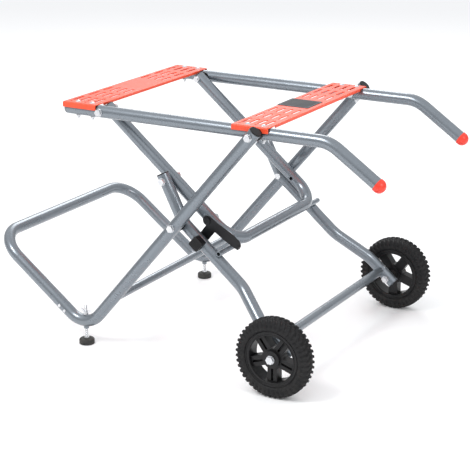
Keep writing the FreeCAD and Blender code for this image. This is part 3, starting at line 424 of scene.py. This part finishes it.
@dataclass(frozen=True)
class Finish:
    """One finish: two colours mixed by patches and grain, roughness that varies, fine relief,
    scuffs and floor dust."""

    slot: Slot
    colour: Colour
    patch_colour: Colour
    metallic: float
    roughness: tuple[float, float]
    fine_scale: float = 900.0
    patch_scale: float = 12.0
    relief: float = 0.00004
    relief_strength: float = 0.25
    scuff: float = 0.25
    scuff_colour: Colour = (0.45, 0.45, 0.45)
    dust: float = 0.15
    coat: float = 0.0
    coat_roughness: float = 0.15
    specular: float = 0.5

    def build(self, groups: GroupMaker) -> bpy.types.Material:
        """Builds the material.

        Args:
            groups: the shared shader groups.

        Returns:
            The new material.
        """
        material = bpy.data.materials.new(self.slot.value)
        material.use_nodes = True
        tree = material.node_tree
        shader = tree.nodes["Principled BSDF"]
        shader.inputs["Metallic"].default_value = self.metallic
        shader.inputs["Coat Weight"].default_value = self.coat
        shader.inputs["Coat Roughness"].default_value = self.coat_roughness
        shader.inputs["Specular IOR Level"].default_value = self.specular
        place = tree.nodes.new("ShaderNodeTexCoord").outputs["Object"]
        grain = self._group(tree, groups.grain, place,
                            {"Fine Scale": self.fine_scale, "Patch Scale": self.patch_scale})
        scuffs = self._group(tree, groups.scuffs, place, {"Amount": self.scuff})
        dust = self._group(tree, groups.dust, place, {"Amount": self.dust})
        colour = self._mix(tree, grain.outputs["Patch"], self.colour, self.patch_colour)
        colour = self._mix(tree, scuffs.outputs["Mask"], colour, self.scuff_colour)
        colour = self._mix(tree, dust.outputs["Mask"], colour, DUST_COLOUR)
        colour = self.decorate(tree, place, colour)
        tree.links.new(colour, shader.inputs["Base Color"])
        rough = tree.nodes.new("ShaderNodeMapRange")
        rough.inputs["To Min"].default_value = self.roughness[0]
        rough.inputs["To Max"].default_value = self.roughness[1]
        tree.links.new(grain.outputs["Patch"], rough.inputs["Value"])
        worn = tree.nodes.new("ShaderNodeMath")
        worn.operation = "MULTIPLY_ADD"
        worn.inputs[1].default_value = DUST_ROUGHENS
        tree.links.new(dust.outputs["Mask"], worn.inputs[0])
        tree.links.new(rough.outputs["Result"], worn.inputs[2])
        tree.links.new(worn.outputs[0], shader.inputs["Roughness"])
        bump = tree.nodes.new("ShaderNodeBump")
        bump.inputs["Distance"].default_value = self.relief
        bump.inputs["Strength"].default_value = self.relief_strength
        tree.links.new(grain.outputs["Height"], bump.inputs["Height"])
        tree.links.new(bump.outputs["Normal"], shader.inputs["Normal"])
        return material

    def decorate(self, tree: bpy.types.NodeTree, place: bpy.types.NodeSocket,
                 colour: bpy.types.NodeSocket) -> bpy.types.NodeSocket:
        """Changes the colour where a finish has a pattern of its own; plain finishes have none.

        Args:
            tree: the material's tree.
            place: position socket.
            colour: colour socket so far.

        Returns:
            The colour socket to use.
        """
        return colour

    @staticmethod
    def _group(tree: bpy.types.NodeTree, group: bpy.types.NodeTree, place: bpy.types.NodeSocket,
               values: dict[str, float]) -> bpy.types.Node:
        """Places a shared group, feeds it the position and sets its values.

        Args:
            tree: the material's tree.
            group: the shared group.
            place: position socket.
            values: numbers for its inputs.

        Returns:
            The group node.
        """
        node = tree.nodes.new("ShaderNodeGroup")
        node.node_tree = group
        tree.links.new(place, node.inputs["Vector"])
        for label, value in values.items():
            node.inputs[label].default_value = value
        return node

    @staticmethod
    def _mix(tree: bpy.types.NodeTree, factor: bpy.types.NodeSocket, one: Paint,
             two: Paint) -> bpy.types.NodeSocket:
        """Mixes two colours.

        Args:
            tree: the material's tree.
            factor: mask socket, 0 for the first colour and 1 for the second.
            one: first colour or socket.
            two: second colour or socket.

        Returns:
            The mixed colour socket.
        """
        node = tree.nodes.new("ShaderNodeMix")
        node.data_type = "RGBA"
        tree.links.new(factor, node.inputs["Factor"])
        for place, value in zip(MIX_COLOUR_INPUTS, (one, two)):
            socket = node.inputs[place]
            if isinstance(value, tuple):
                socket.default_value = (*value, 1.0)
            else:
                tree.links.new(value, socket)
        return node.outputs[MIX_COLOUR_OUTPUT]


@dataclass(frozen=True)
class LabelFinish(Finish):
    """Blank film label with a thin paler line inside its edge."""

    centre: Colour = (0.0, 0.0, 0.0)
    half: tuple[float, float] = (0.04, 0.04)
    line: tuple[float, float] = (0.0035, 0.0045)

    def decorate(self, tree: bpy.types.NodeTree, place: bpy.types.NodeSocket,
                 colour: bpy.types.NodeSocket) -> bpy.types.NodeSocket:
        """Paler line where the distance to the nearest edge lies between the two line values.

        Args:
            tree: the material's tree.
            place: position socket.
            colour: colour socket so far.

        Returns:
            The colour socket with the line mixed in.
        """
        split = tree.nodes.new("ShaderNodeSeparateXYZ")
        shift = tree.nodes.new("ShaderNodeVectorMath")
        shift.operation = "SUBTRACT"
        shift.inputs[1].default_value = self.centre
        tree.links.new(place, shift.inputs[0])
        tree.links.new(shift.outputs["Vector"], split.inputs["Vector"])
        gaps = []
        for axis, half in zip("XY", self.half):
            size = GroupMaker.calculate(tree, "ABSOLUTE", split.outputs[axis], 0.0)
            gaps.append(GroupMaker.calculate(tree, "SUBTRACT", half, size))
        gap = GroupMaker.calculate(tree, "MINIMUM", gaps[0], gaps[1])
        inner = GroupMaker.calculate(tree, "GREATER_THAN", gap, self.line[0])
        outer = GroupMaker.calculate(tree, "LESS_THAN", gap, self.line[1])
        mask = GroupMaker.calculate(tree, "MULTIPLY", inner, outer)
        return self._mix(tree, mask, colour, LABEL_LINE_COLOUR)


def finishes() -> list[Finish]:
    """Every finish of the stand, one for each slot.

    Returns:
        The finishes.
    """
    low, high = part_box("label_plate")
    middle = (low + high) / 2
    return [
        Finish(Slot.TUBE, (0.196, 0.221, 0.248), (0.208, 0.234, 0.262), 0.70, (0.25, 0.30),
               fine_scale=1400.0, relief=0.00002, relief_strength=0.10, coat=0.40, scuff=0.06,
               scuff_colour=(0.34, 0.35, 0.37), dust=0.05),
        Finish(Slot.PLATE, (0.80, 0.060, 0.016), (0.84, 0.085, 0.028), 0.0, (0.40, 0.52),
               fine_scale=1100.0, relief=0.00005, coat=0.12, scuff=0.35,
               scuff_colour=(0.95, 0.45, 0.32), dust=0.0),
        Finish(Slot.ZINC, (0.62, 0.63, 0.66), (0.74, 0.75, 0.76), 1.0, (0.18, 0.34),
               fine_scale=500.0, patch_scale=90.0, relief=0.00003, scuff=0.2),
        Finish(Slot.BLACK_PLASTIC, (0.005, 0.005, 0.006), (0.010, 0.010, 0.011), 0.0, (0.38, 0.55),
               fine_scale=1800.0, relief=0.00006, relief_strength=0.4, scuff=0.15,
               scuff_colour=(0.08, 0.08, 0.08), specular=0.3),
        Finish(Slot.GREY_PLASTIC, (0.150, 0.162, 0.180), (0.185, 0.198, 0.215), 0.0, (0.35, 0.5),
               fine_scale=1500.0, relief=0.00005, scuff=0.15),
        Finish(Slot.CAP, (0.76, 0.028, 0.010), (0.80, 0.040, 0.016), 0.0, (0.32, 0.44),
               fine_scale=1600.0, relief=0.00004, coat=0.2, scuff=0.25,
               scuff_colour=(0.90, 0.30, 0.20), dust=0.0),
        Finish(Slot.RIM, (0.004, 0.004, 0.005), (0.009, 0.009, 0.010), 0.0, (0.32, 0.46),
               fine_scale=1500.0, relief=0.00006, relief_strength=0.4, scuff=0.2,
               scuff_colour=(0.06, 0.06, 0.06), dust=0.04, specular=0.3),
        Finish(Slot.TYRE, (0.006, 0.006, 0.007), (0.013, 0.013, 0.014), 0.0, (0.50, 0.70),
               fine_scale=1200.0, patch_scale=30.0, relief=0.00012, relief_strength=0.5,
               scuff=0.2, scuff_colour=(0.06, 0.06, 0.06), dust=0.06, specular=0.25),
        Finish(Slot.PAD, (0.012, 0.012, 0.012), (0.020, 0.020, 0.020), 0.0, (0.55, 0.75),
               fine_scale=1400.0, relief=0.0001, scuff=0.1, scuff_colour=(0.08, 0.08, 0.08)),
        LabelFinish(Slot.LABEL, (0.016, 0.017, 0.021), (0.022, 0.024, 0.029), 0.0, (0.50, 0.62),
                    relief=0.00002, scuff=0.25, scuff_colour=(0.09, 0.09, 0.10), dust=0.0,
                    specular=0.2,
                    centre=tuple(middle), half=tuple((high - low) / 2)[:2]),
        Finish(Slot.DARK_STEEL, (0.020, 0.020, 0.022), (0.034, 0.034, 0.036), 0.8, (0.32, 0.48),
               fine_scale=600.0, scuff=0.3, scuff_colour=(0.25, 0.25, 0.26)),
    ]


# ------------------------------------------------------------------ sub-assemblies
@dataclass
class Shop:
    """Holds the materials and adds each finished piece to the frame."""

    materials: dict[Slot, bpy.types.Material]

    def dress_frame(self, frame: dict) -> None:
        """Gives every frame node the material of its slot.
        """
        slots = {part["node"]: Slot(part["material_slot"]) for part in frame["record"]["subparts"]}
        for node, piece in frame["nodes"].items():
            piece.data.materials.clear()
            piece.data.materials.append(self.materials[slots[node]])
        LOG.info("dressed %d frame nodes", len(slots))

    def add(self, surface: Surface, name: str, body: str, slot: Slot,
            replaced: tuple[str, ...] = ()) -> bpy.types.Object:
        """Makes a piece, dresses it and joins it to a frame body.

        Args:
            surface: its points and faces.
            name: the piece's name.
            body: the frame body it moves with.
            slot: the finish it wears.
            replaced: frame nodes that it stands for.

        Returns:
            The finished piece.
        """
        piece = surface.to_object(name)
        piece.data.materials.append(self.materials[slot])
        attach(piece, body)
        if replaced:
            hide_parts(*replaced)
        LOG.info("%s: %d points on %s", name, surface.count, body)
        return piece


@dataclass
class TreadedTyre:
    """Rubber tyre with chevron lugs, in place of the frame's smooth tyre."""

    side: Side
    lugs: int = 44
    samples_per_lug: int = 14
    lug_depth: float = 0.0050
    lug_share: float = 0.52
    chevron: float = 1.25
    groove_at: float = 0.42
    groove_half: float = 0.05
    shoulder: float = 0.021
    shoulder_soft: float = 0.0025
    chevron_bend: float = 0.25
    row_shift: float = 0.5
    lug_soft: float = 0.12
    groove_soft: float = 0.04
    side_from: float = 0.90
    side_to: float = 0.985
    side_depth: float = 0.55
    seat_share: float = 0.709
    seat_width: float = 0.8
    seat_points: int = 8
    bead_height: float = 0.004
    arc_points: int = 64
    width_power: float = 0.42
    height_power: float = 0.5
    line_height: float = 0.0006
    line_at: float = 0.010
    line_width: float = 0.0016

    def build(self, shop: Shop) -> None:
        """Makes the tyre: the section is a closed outline of radius and width.  Between the lugs the
        crown sinks towards the axle and the shoulder sinks sideways, by the lug depth.

        Args:
            shop: where the piece is finished and joined.
        """
        node = "wheel_tyre_" + self.side.word
        low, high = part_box(node)
        centre, outer = (low + high) / 2, (high.z - low.z) / 2
        half = (high.y - low.y) / 2
        radius, offset, crown = self._section(outer, half)
        around = self.lugs * self.samples_per_lug
        turn = np.linspace(0.0, self.lugs, around, endpoint=False)[:, None]
        width = np.abs(offset / half)[None, :]
        gap = crown[None, :] * (1.0 - self._lug(turn, width, offset[None, :]))
        side_share = smooth_step(width, self.side_from, self.side_to)
        radii = radius[None, :] - self.lug_depth * gap * (1.0 - side_share)
        grid = lathe(centre, radii, offset, "y")
        inset = 1.0 - self.lug_depth * self.side_depth / half * gap * side_share
        grid[..., 1] = centre.y + offset[None, :] * inset
        surface = Surface()
        surface.add(grid[:, ::-1], True, True)
        shop.add(surface, "tread_" + self.side.word, "wheel_" + self.side.word, Slot.TYRE, (node,))

    def _section(self, outer: float, half: float) -> tuple[np.ndarray, np.ndarray, np.ndarray]:
        """Outline of the tyre: a superellipse from bead to bead, closed along the rim seat.

        Args:
            outer: outer radius.
            half: half the width.

        Returns:
            Radii, offsets across the tyre, and how far each point belongs to the lugged crown.
        """
        seat = outer * self.seat_share
        arc = np.linspace(math.pi, 0.0, self.arc_points)
        offset = half * np.sign(np.cos(arc)) * np.abs(np.cos(arc)) ** self.width_power
        height = np.sin(arc) ** self.height_power
        radius = seat + self.bead_height + (outer - seat - self.bead_height) * height
        from_line = (radius - seat - self.line_at) / self.line_width
        wall = self.line_height * np.exp(-from_line ** 2)
        offset = offset + np.sign(offset) * (wall - self.line_height)
        seat_edge = half * self.seat_width
        radius = np.concatenate([radius, np.full(self.seat_points, seat)])
        offset = np.concatenate([offset, np.linspace(seat_edge, -seat_edge, self.seat_points)])
        crown_from = outer - self.shoulder
        crown = smooth_step(radius, crown_from, crown_from + self.shoulder_soft)
        return radius, offset, crown

    def _lug(self, turn: np.ndarray, width: np.ndarray, offset: np.ndarray) -> np.ndarray:
        """1 on a lug and 0 between: a square wave in turn plus chevron times width, soft at its
        edges, with half a lug's shift across the middle and a groove on each side.

        Args:
            turn: place round the tyre, in lugs.
            width: distance from the middle, as a share of half the width.
            offset: signed distance from the middle.

        Returns:
            The mask, shaped by its inputs.
        """
        lean = self.chevron * width * (1.0 - self.chevron_bend * width)
        phase = (turn + lean + self.row_shift * (offset > 0)) % 1.0
        fall = smooth_step(phase, self.lug_share, self.lug_share + self.lug_soft)
        wave = smooth_step(phase, 0.0, self.lug_soft) * (1.0 - fall)
        groove = smooth_step(np.abs(width - self.groove_at), self.groove_half,
                             self.groove_half + self.groove_soft)
        return wave * groove


@dataclass
class RimTrim:
    """Raised beads on the rim's edge, on both faces."""

    side: Side
    bead: float = 0.0016
    samples: int = 160
    edge_inset: float = 0.0022
    inner_share: float = 0.862
    face_inset: float = 0.002

    def build(self, shop: Shop) -> None:
        """Makes the beads as rings of round section: centre + radius (cos, sin) of the turn.

        Args:
            shop: where the piece is finished and joined.
        """
        low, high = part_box("wheel_rim_" + self.side.word)
        centre = (low + high) / 2
        outer = (high.z - low.z) / 2
        edge = (high.y - low.y) / 2 - self.face_inset
        surface = Surface()
        turn = np.linspace(0.0, 2 * math.pi, self.samples, endpoint=False)
        thick = np.full(self.samples, self.bead)
        for sign in (-1.0, 1.0):
            for radius in (outer - self.edge_inset, outer * self.inner_share):
                path = np.stack([radius * np.cos(turn), np.full(self.samples, sign * edge),
                                 radius * np.sin(turn)], axis=1) + np.array(centre)
                surface.add(bar_along(path, thick, RING_POINTS, True), True, True)
        shop.add(surface, "rim_beads_" + self.side.word, "wheel_" + self.side.word, Slot.RIM)


@dataclass
class LevellingScrew:
    """Threaded rod with its hexagon collar, in place of the frame's plain rod."""

    side: Side
    rod_radius: float = 0.004
    pitch: float = 0.00125
    thread_depth: float = 0.0005
    turn_samples: int = 24
    rows_per_turn: int = 7
    collar_flat: float = 0.0062
    collar_height: float = 0.005
    collar_from: float = 0.015
    collar_corner: float = 1.12
    collar_samples: int = 72
    crest_gap: float = 0.00002
    point_length: float = 0.001
    point_share: float = 0.75

    def build(self, shop: Shop) -> None:
        """Makes the rod, whose radius dips by a triangle wave of (height / pitch - turn), and the
        collar, whose radius is flat / cos(angle to the nearest flat).

        Args:
            shop: where the piece is finished and joined.
        """
        node = "leveller_rod_" + self.side.word
        low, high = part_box(node)
        axis = Vector(((low.x + high.x) / 2, (low.y + high.y) / 2, 0.0))
        height = high.z - low.z
        rows = int(height / self.pitch) * self.rows_per_turn
        along = np.linspace(low.z, high.z, rows)
        turn = np.linspace(0.0, 1.0, self.turn_samples, endpoint=False)[:, None]
        phase = (along[None, :] / self.pitch - turn) % 1.0
        dip = self.thread_depth * (1.0 - np.abs(2.0 * phase - 1.0))
        ends = smooth_step(high.z - along, 0.0, self.point_length)[None, :]
        narrowing = self.point_share + (1.0 - self.point_share) * ends
        radii = (self.rod_radius - self.crest_gap - dip) * narrowing
        surface = Surface()
        radii = np.pad(radii, ((0, 0), (1, 1)))
        along = np.pad(along, 1, mode="edge")
        surface.add(lathe(axis, radii, along, "z")[:, ::-1], True, False)
        surface.add(self._collar(axis), True, False)
        shop.add(surface, "leveller_screw_" + self.side.word, "leveller_" + self.side.word,
                 Slot.ZINC, (node,))

    def _collar(self, axis: Vector) -> np.ndarray:
        """Hexagon nut outline with rounded corners and closed ends.

        Args:
            axis: a point on the rod's axis.

        Returns:
            Grid for Surface.add.
        """
        angle = np.linspace(0.0, 2 * math.pi, self.collar_samples, endpoint=False)[:, None]
        nearest = (angle + math.pi / 6) % (math.pi / 3) - math.pi / 6
        rounded = self.collar_flat * self.collar_corner
        hexagon = np.minimum(self.collar_flat / np.cos(nearest), rounded)
        shape = np.array([0.0, 0.90, 1.0, 1.0, 0.90, 0.0])[None, :]
        share = np.array([0.0, 0.0, 0.12, 0.88, 1.0, 1.0])
        offsets = self.collar_from + self.collar_height * share
        return lathe(axis, hexagon * shape, offsets, "z")[:, ::-1]


@dataclass
class WeldBead:
    """Rippled bead round a cross tube where it meets a leg that rises at leg_turn degrees."""

    name: str
    body: str
    cross_node: str
    cross_radius: float
    leg_radius: float
    leg_y: float
    leg_turn: float
    bead: float = 0.0017
    ripples: int = 26
    ripple_height: float = 0.16
    samples: int = 208

    def build(self, shop: Shop) -> None:
        """Makes both ends' beads: round the cross tube by angle a, the bead sits at
        y = leg_y - sqrt(leg_radius^2 - (cross_radius sin a)^2).

        Args:
            shop: where the piece is finished and joined.
        """
        low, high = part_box(self.cross_node)
        x, z = (low.x + high.x) / 2, (low.z + high.z) / 2
        angle = np.linspace(0.0, 2 * math.pi, self.samples, endpoint=False)
        square = math.radians(self.leg_turn)
        rise = self.cross_radius * np.sin(angle - square)
        reach = self.leg_y - np.sqrt(self.leg_radius ** 2 - rise ** 2)
        radius = self.bead * (1.0 + self.ripple_height * np.abs(np.sin(angle * self.ripples / 2)))
        surface = Surface()
        for sign in (-1.0, 1.0):
            path = np.stack([x + self.cross_radius * np.cos(angle), sign * reach,
                             z + self.cross_radius * np.sin(angle)], axis=1)
            surface.add(bar_along(path, radius, RING_POINTS, True), True, True)
        shop.add(surface, self.name, self.body, Slot.TUBE)


@dataclass
class GuardRibs:
    """Finger ribs across the lock guard's outer face."""

    ribs: int = 6
    rib_radius: float = 0.0011
    rib_half: float = 0.0115
    spread: float = 0.0215
    slope: float = -40.0
    sink: float = 0.0003
    stations: int = 24
    section_points: int = 12
    end_share: float = 0.12

    def build(self, shop: Shop) -> None:
        """Makes the ribs as round bars with rounded ends, half sunk in the face.

        Args:
            shop: where the piece is finished and joined.
        """
        low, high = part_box("lock_block")
        middle = np.array([(low.x + high.x) / 2, low.y + self.sink, (low.z + high.z) / 2])
        turn = math.radians(self.slope)
        along = np.array([math.cos(turn), 0.0, math.sin(turn)])
        square = np.array([-math.sin(turn), 0.0, math.cos(turn)])
        surface = Surface()
        reach = np.linspace(-self.rib_half, self.rib_half, self.stations)[:, None]
        radius = self.rib_radius * tapered_ends(self.stations, self.end_share)
        for place in np.linspace(-self.spread / 2, self.spread / 2, self.ribs):
            path = middle + along * place + square * reach
            surface.add(bar_along(path, radius, self.section_points, False), False, True)
        shop.add(surface, "lock_guard_ribs", "wheel_frame", Slot.BLACK_PLASTIC)


# ------------------------------------------------------------------ studio
@dataclass
class Studio:
    """Pale floor, soft lights and the camera."""

    camera_place: Vector = field(default_factory=lambda: Vector((1.8914, -3.2803, 1.4742)))
    camera_turn: float = 29.79
    camera_drop: float = 17.78
    lens: float = 112.8
    floor_half: float = 30.0
    floor_drop: float = 0.0002
    floor_points: int = 9

    def build(self) -> None:
        """Makes the floor, the lights, the world and the camera."""
        self._floor()
        self._world()
        self._light("key", place=(-0.9, -2.4, 3.2), size=1.3, power=66.0)
        self._light("side", place=(3.0, -1.0, 2.0), size=1.2, power=26.0)
        self._light("back", place=(-1.6, 3.0, 2.8), size=1.8, power=40.0)
        self._camera()
        bpy.context.scene.view_settings.view_transform = "Standard"

    def _floor(self) -> None:
        """Large pale plane."""
        edge = np.linspace(-self.floor_half, self.floor_half, self.floor_points)
        x, y = np.meshgrid(edge, edge, indexing="ij")
        surface = Surface()
        surface.add(np.stack([x, y, np.full_like(x, -self.floor_drop)], axis=-1), False, False)
        floor = surface.to_object("studio_floor")
        material = bpy.data.materials.new("studio_floor")
        material.use_nodes = True
        shader = material.node_tree.nodes["Principled BSDF"]
        shader.inputs["Base Color"].default_value = (0.96, 0.96, 0.96, 1.0)
        shader.inputs["Roughness"].default_value = 0.9
        floor.data.materials.append(material)

    @staticmethod
    def _world() -> None:
        """Nearly white surroundings, dimmer at the horizon so that round tubes show their form."""
        world = bpy.data.worlds.new("studio_world")
        world.use_nodes = True
        tree = world.node_tree
        sky = tree.nodes["Background"]
        sky.inputs["Color"].default_value = (0.97, 0.98, 1.0, 1.0)
        split = tree.nodes.new("ShaderNodeSeparateXYZ")
        rise = tree.nodes.new("ShaderNodeMapRange")
        rise.inputs["From Max"].default_value = 0.75
        rise.inputs["To Min"].default_value = 0.50
        rise.inputs["To Max"].default_value = 1.05
        tree.links.new(tree.nodes.new("ShaderNodeTexCoord").outputs["Generated"],
                       split.inputs["Vector"])
        tree.links.new(split.outputs["Z"], rise.inputs["Value"])
        tree.links.new(rise.outputs["Result"], sky.inputs["Strength"])
        bpy.context.scene.world = world

    @staticmethod
    def _light(name: str, place: tuple[float, float, float], size: float, power: float) -> None:
        """Square area light aimed at the middle of the stand.

        Args:
            name: the light's name.
            place: where it hangs.
            size: length of its side.
            power: watts.
        """
        data = bpy.data.lights.new(name, "AREA")
        data.size = size
        data.energy = power
        light = bpy.data.objects.new(name, data)
        light.location = place
        aim = Vector((0.0, 0.0, 0.35)) - Vector(place)
        light.rotation_euler = aim.to_track_quat("-Z", "Y").to_euler()
        bpy.context.scene.collection.objects.link(light)

    def _camera(self) -> None:
        """Long lens at the catalogue angle, all in focus."""
        data = bpy.data.cameras.new("camera")
        data.lens = self.lens
        data.sensor_width = 36.0
        data.clip_end = 200.0
        camera = bpy.data.objects.new("camera", data)
        camera.location = self.camera_place
        camera.rotation_euler = (math.radians(90.0 - self.camera_drop), 0.0,
                                 math.radians(self.camera_turn))
        bpy.context.scene.collection.objects.link(camera)
        bpy.context.scene.camera = camera


def main() -> None:
    """Builds every sub-assembly in order."""
    logging.basicConfig(level=logging.INFO, format="%(name)s: %(message)s")
    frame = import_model()
    groups = GroupMaker()
    shop = Shop({finish.slot: finish.build(groups) for finish in finishes()})
    shop.dress_frame(frame)
    parts = []
    for side in Side:
        parts += [TreadedTyre(side), RimTrim(side), LevellingScrew(side)]
    parts += [WeldBead("brace_welds", "foot_frame", "foot_brace", cross_radius=0.011,
                       leg_radius=0.016, leg_y=0.305, leg_turn=49.7),
              WeldBead("axle_tube_welds", "wheel_frame", "axle_tube", cross_radius=0.0125,
                       leg_radius=0.016, leg_y=0.311, leg_turn=-40.0),
              GuardRibs()]
    for part in parts:
        part.build(shop)
    Studio().build()


if __name__ == "__main__":
    main()
